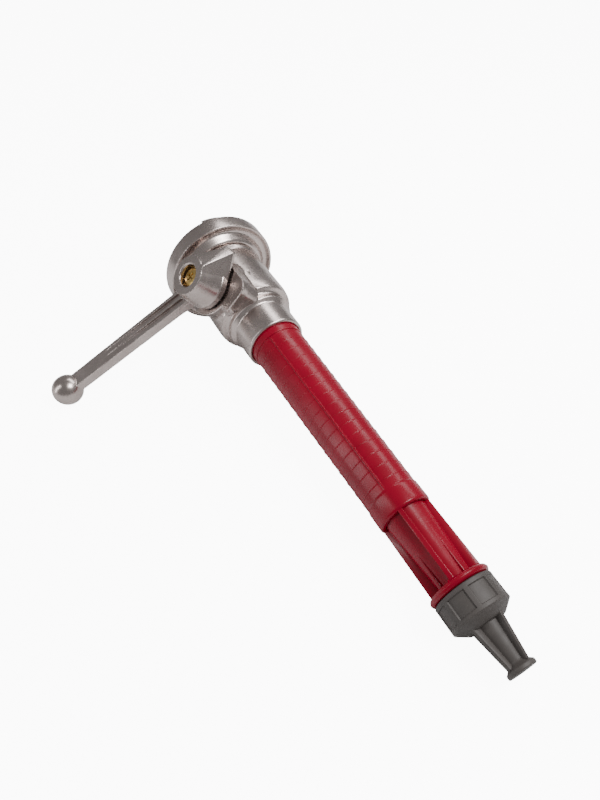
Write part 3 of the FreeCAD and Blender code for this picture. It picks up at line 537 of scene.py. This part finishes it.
# ---- materials -------------------------------------------------------------------------------
def finish(name, colours, roughness, metallic=0.0, shine=0.5, grain=900.0, bump=0.05, scratch=0.0,
           blotch=35.0, tint=None):
    """Node material with blotches in its colour and roughness, fine grain and fine scratches."""
    made = bpy.data.materials.new(name)
    made.use_nodes = True
    nodes, links = made.node_tree.nodes, made.node_tree.links
    nodes.clear()
    out = nodes.new("ShaderNodeOutputMaterial")
    shade = nodes.new("ShaderNodeBsdfPrincipled")
    links.new(shade.outputs[0], out.inputs[0])
    shade.inputs["Metallic"].default_value = metallic
    shade.inputs["Specular IOR Level"].default_value = shine
    place = nodes.new("ShaderNodeTexCoord")

    def noise(scale, detail, stretch=None, rough=0.55):
        source = place.outputs["Object"]
        if stretch:
            mapping = nodes.new("ShaderNodeMapping")
            mapping.inputs["Scale"].default_value = stretch
            links.new(source, mapping.inputs["Vector"])
            source = mapping.outputs[0]
        made_noise = nodes.new("ShaderNodeTexNoise")
        made_noise.inputs["Scale"].default_value = scale
        made_noise.inputs["Detail"].default_value = detail
        made_noise.inputs["Roughness"].default_value = rough
        links.new(source, made_noise.inputs["Vector"])
        return made_noise.outputs[0]

    def ramp(source, stops):
        made_ramp = nodes.new("ShaderNodeValToRGB")
        elements = made_ramp.color_ramp.elements
        for i, (at, colour) in enumerate(stops):
            element = elements[i] if i < 2 else elements.new(at)
            element.position = at
            element.color = (*colour, 1.0)
        links.new(source, made_ramp.inputs[0])
        return made_ramp.outputs[0]

    def spread(source, low, high, from_low=0.3, from_high=0.7):
        mapped = nodes.new("ShaderNodeMapRange")
        mapped.inputs["From Min"].default_value = from_low
        mapped.inputs["From Max"].default_value = from_high
        mapped.inputs["To Min"].default_value = low
        mapped.inputs["To Max"].default_value = high
        links.new(source, mapped.inputs["Value"])
        return mapped.outputs[0]

    blotches = noise(blotch, 5.0)
    colour = ramp(blotches, [(0.3, colours[0]), (0.7, colours[1])])
    if tint:
        dirt = nodes.new("ShaderNodeMix")
        dirt.data_type = "RGBA"
        links.new(spread(noise(blotch * 2.7, 8.0, rough=0.7), 0.0, tint[1], 0.52, 0.72),
                  dirt.inputs["Factor"])
        links.new(colour, dirt.inputs["A"])
        dirt.inputs["B"].default_value = (*tint[0], 1.0)
        colour = dirt.outputs["Result"]
    links.new(colour, shade.inputs["Base Color"])
    rough = spread(noise(blotch * 3.1, 6.0, rough=0.65), roughness[0], roughness[1])
    links.new(rough, shade.inputs["Roughness"])
    fine = noise(grain, 3.0)
    height = fine
    if scratch:
        lines = noise(220.0, 4.0, (1.0, 14.0, 1.0), 0.7)
        marks = noise(260.0, 4.0, (9.0, 1.0, 6.0), 0.7)
        both = nodes.new("ShaderNodeMath")
        both.operation = "ADD"
        links.new(spread(lines, 0.0, scratch, 0.55, 0.75), both.inputs[0])
        links.new(spread(marks, 0.0, scratch, 0.55, 0.75), both.inputs[1])
        total = nodes.new("ShaderNodeMath")
        total.operation = "ADD"
        links.new(fine, total.inputs[0])
        links.new(both.outputs[0], total.inputs[1])
        height = total.outputs[0]
    relief = nodes.new("ShaderNodeBump")
    relief.inputs["Strength"].default_value = bump
    relief.inputs["Distance"].default_value = 0.0004
    links.new(height, relief.inputs["Height"])
    links.new(relief.outputs[0], shade.inputs["Normal"])
    return made


MATERIALS = {
    "cast_alloy": finish("cast_alloy", ((0.47, 0.405, 0.38), (0.60, 0.525, 0.50)), (0.22, 0.32),
                         metallic=1.0, grain=1400.0, bump=0.04, scratch=0.4, blotch=28.0,
                         tint=((0.30, 0.26, 0.245), 0.25)),
    "red_plastic": finish("red_plastic", ((0.24, 0.0, 0.014), (0.31, 0.001, 0.020)), (0.22, 0.32),
                          shine=0.3, grain=1600.0, bump=0.02, blotch=18.0,
                          tint=((0.12, 0.001, 0.005), 0.25)),
    "grey_plastic": finish("grey_plastic", ((0.060, 0.051, 0.047), (0.085, 0.074, 0.069)),
                           (0.48, 0.62), grain=1800.0, bump=0.12, blotch=40.0,
                           tint=((0.13, 0.115, 0.105), 0.2)),
    "brass": finish("brass", ((0.56, 0.36, 0.10), (0.78, 0.56, 0.22)), (0.22, 0.45), metallic=1.0,
                    grain=1500.0, bump=0.1, scratch=0.4, blotch=160.0,
                    tint=((0.16, 0.09, 0.03), 0.7)),
    "steel": finish("steel", ((0.42, 0.42, 0.43), (0.58, 0.58, 0.59)), (0.2, 0.4), metallic=1.0,
                    bump=0.08, scratch=0.4, blotch=120.0),
    "chrome": finish("chrome", ((0.72, 0.72, 0.74), (0.82, 0.82, 0.84)), (0.05, 0.14),
                     metallic=1.0, bump=0.02, blotch=60.0),
    "seal_rubber": finish("seal_rubber", ((0.018, 0.018, 0.019), (0.035, 0.034, 0.033)),
                          (0.5, 0.72), bump=0.2, blotch=90.0),
    "seat_plastic": finish("seat_plastic", ((0.72, 0.71, 0.68), (0.82, 0.81, 0.78)), (0.35, 0.5),
                           bump=0.06, blotch=70.0),
}
SLOTS = {part["node"]: part["material_slot"] for part in frame["record"]["subparts"]}
for node_name, node in frame["nodes"].items():
    node.data.materials.clear()
    node.data.materials.append(MATERIALS[SLOTS[node_name]])


def wear(piece, node_name, body):
    """Gives a piece its node's finish and body, and hides the node it stands in for."""
    piece.data.materials.clear()
    piece.data.materials.append(MATERIALS[SLOTS[node_name]])
    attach(piece, body)
    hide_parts(node_name)


for maker, node_name, body in (
    (coupling, "coupling_head", "branch"),
    (lip_gasket, "coupling_gasket", "branch"),
    (valve_body, "valve_body", "branch"),
    (gland, "gland_bush", "branch"),
    (lever, "lever", "lever_and_ball"),
    (screw, "lever_screw", "lever_and_ball"),
    (barrel, "barrel", "branch"),
    (mouthpiece, "mouthpiece", "tip"),
):
    wear(maker(), node_name, body)


# ---- studio ----------------------------------------------------------------------------------
LENS = 27.3
EYE = Vector((422.2, 141.7, 363.3)) * MM
RIGHT = Vector((0.4962, 0.6200, -0.6078))
UP = Vector((-0.6809, 0.7122, 0.1706))
BACK = Vector((0.5387, 0.3292, 0.7755))
FLOOR_SLOPE = math.radians(4.74)
FLOOR_GAP = 0.4 * MM
BEAD_X = 349.0 * MM
BEAD_RADIUS = 21.3 * MM

camera_data = bpy.data.cameras.new("camera")
camera_data.lens = LENS
camera_data.sensor_width = 36.0
camera_data.clip_start = 0.01
camera = bpy.data.objects.new("camera", camera_data)
axes = Matrix((RIGHT, UP, BACK)).transposed().to_4x4()
camera.matrix_world = ROLL @ Matrix.Translation(EYE) @ axes
bpy.context.scene.collection.objects.link(camera)
bpy.context.scene.camera = camera

# the branch rests on the coupling's rim, the barrel's bead and the lever's knob
normal = Vector((-math.sin(FLOOR_SLOPE), 0.0, math.cos(FLOOR_SLOPE)))
touch = Vector((BEAD_X, 0.0, 0.0)) - normal * BEAD_RADIUS
floor_turn = Vector((0, 0, 1)).rotation_difference(normal).to_matrix().to_4x4()
floor_mesh = bpy.data.meshes.new("floor")
HALF = 6.0
floor_mesh.from_pydata([(-HALF, -HALF, 0), (HALF, -HALF, 0), (HALF, HALF, 0), (-HALF, HALF, 0)], [],
                       [(0, 1, 2, 3)])
floor = bpy.data.objects.new("floor", floor_mesh)
floor.matrix_world = Matrix.Translation(touch - normal * FLOOR_GAP) @ floor_turn
bpy.context.scene.collection.objects.link(floor)
pale = bpy.data.materials.new("pale_floor")
pale.use_nodes = True
pale_nodes, pale_links = pale.node_tree.nodes, pale.node_tree.links
sheet = pale_nodes["Principled BSDF"]
sheet.inputs["Base Color"].default_value = (0.85, 0.85, 0.85, 1)
sheet.inputs["Roughness"].default_value = 0.8
sheet.inputs["Emission Color"].default_value = (1.0, 1.0, 1.0, 1)
seen = pale_nodes.new("ShaderNodeLightPath")
bright = pale_nodes.new("ShaderNodeMath")
bright.operation = "MULTIPLY"
bright.inputs[1].default_value = 10.0
pale_links.new(seen.outputs["Is Camera Ray"], bright.inputs[0])
pale_links.new(bright.outputs[0], sheet.inputs["Emission Strength"])
floor_mesh.materials.append(pale)

world = bpy.data.worlds.new("studio")
world.use_nodes = True
world.node_tree.nodes["Background"].inputs[0].default_value = (1.0, 1.0, 1.0, 1)
world.node_tree.nodes["Background"].inputs[1].default_value = 0.28
bpy.context.scene.world = world


def softbox(name, energy, size, right, up, back):
    """Area lamp that faces the branch, placed in metres along the camera's axes."""
    lamp = bpy.data.lights.new(name, "AREA")
    lamp.shape = "RECTANGLE"
    lamp.size, lamp.size_y = size
    lamp.energy = energy
    made = bpy.data.objects.new(name, lamp)
    aim = Vector((0.18, 0.0, 0.0))
    away = ROLL.to_3x3() @ (RIGHT * right + UP * up + BACK * back)
    made.location = aim + away
    made.rotation_euler = away.to_track_quat("Z", "Y").to_euler()
    bpy.context.scene.collection.objects.link(made)


softbox("key", 11.0, (0.5, 0.4), 0.5, 0.6, 0.8)
softbox("edge", 2.5, (0.12, 0.9), -0.9, 0.1, 0.4)
softbox("rim", 4.0, (0.9, 0.25), 0.3, 1.0, 0.1)
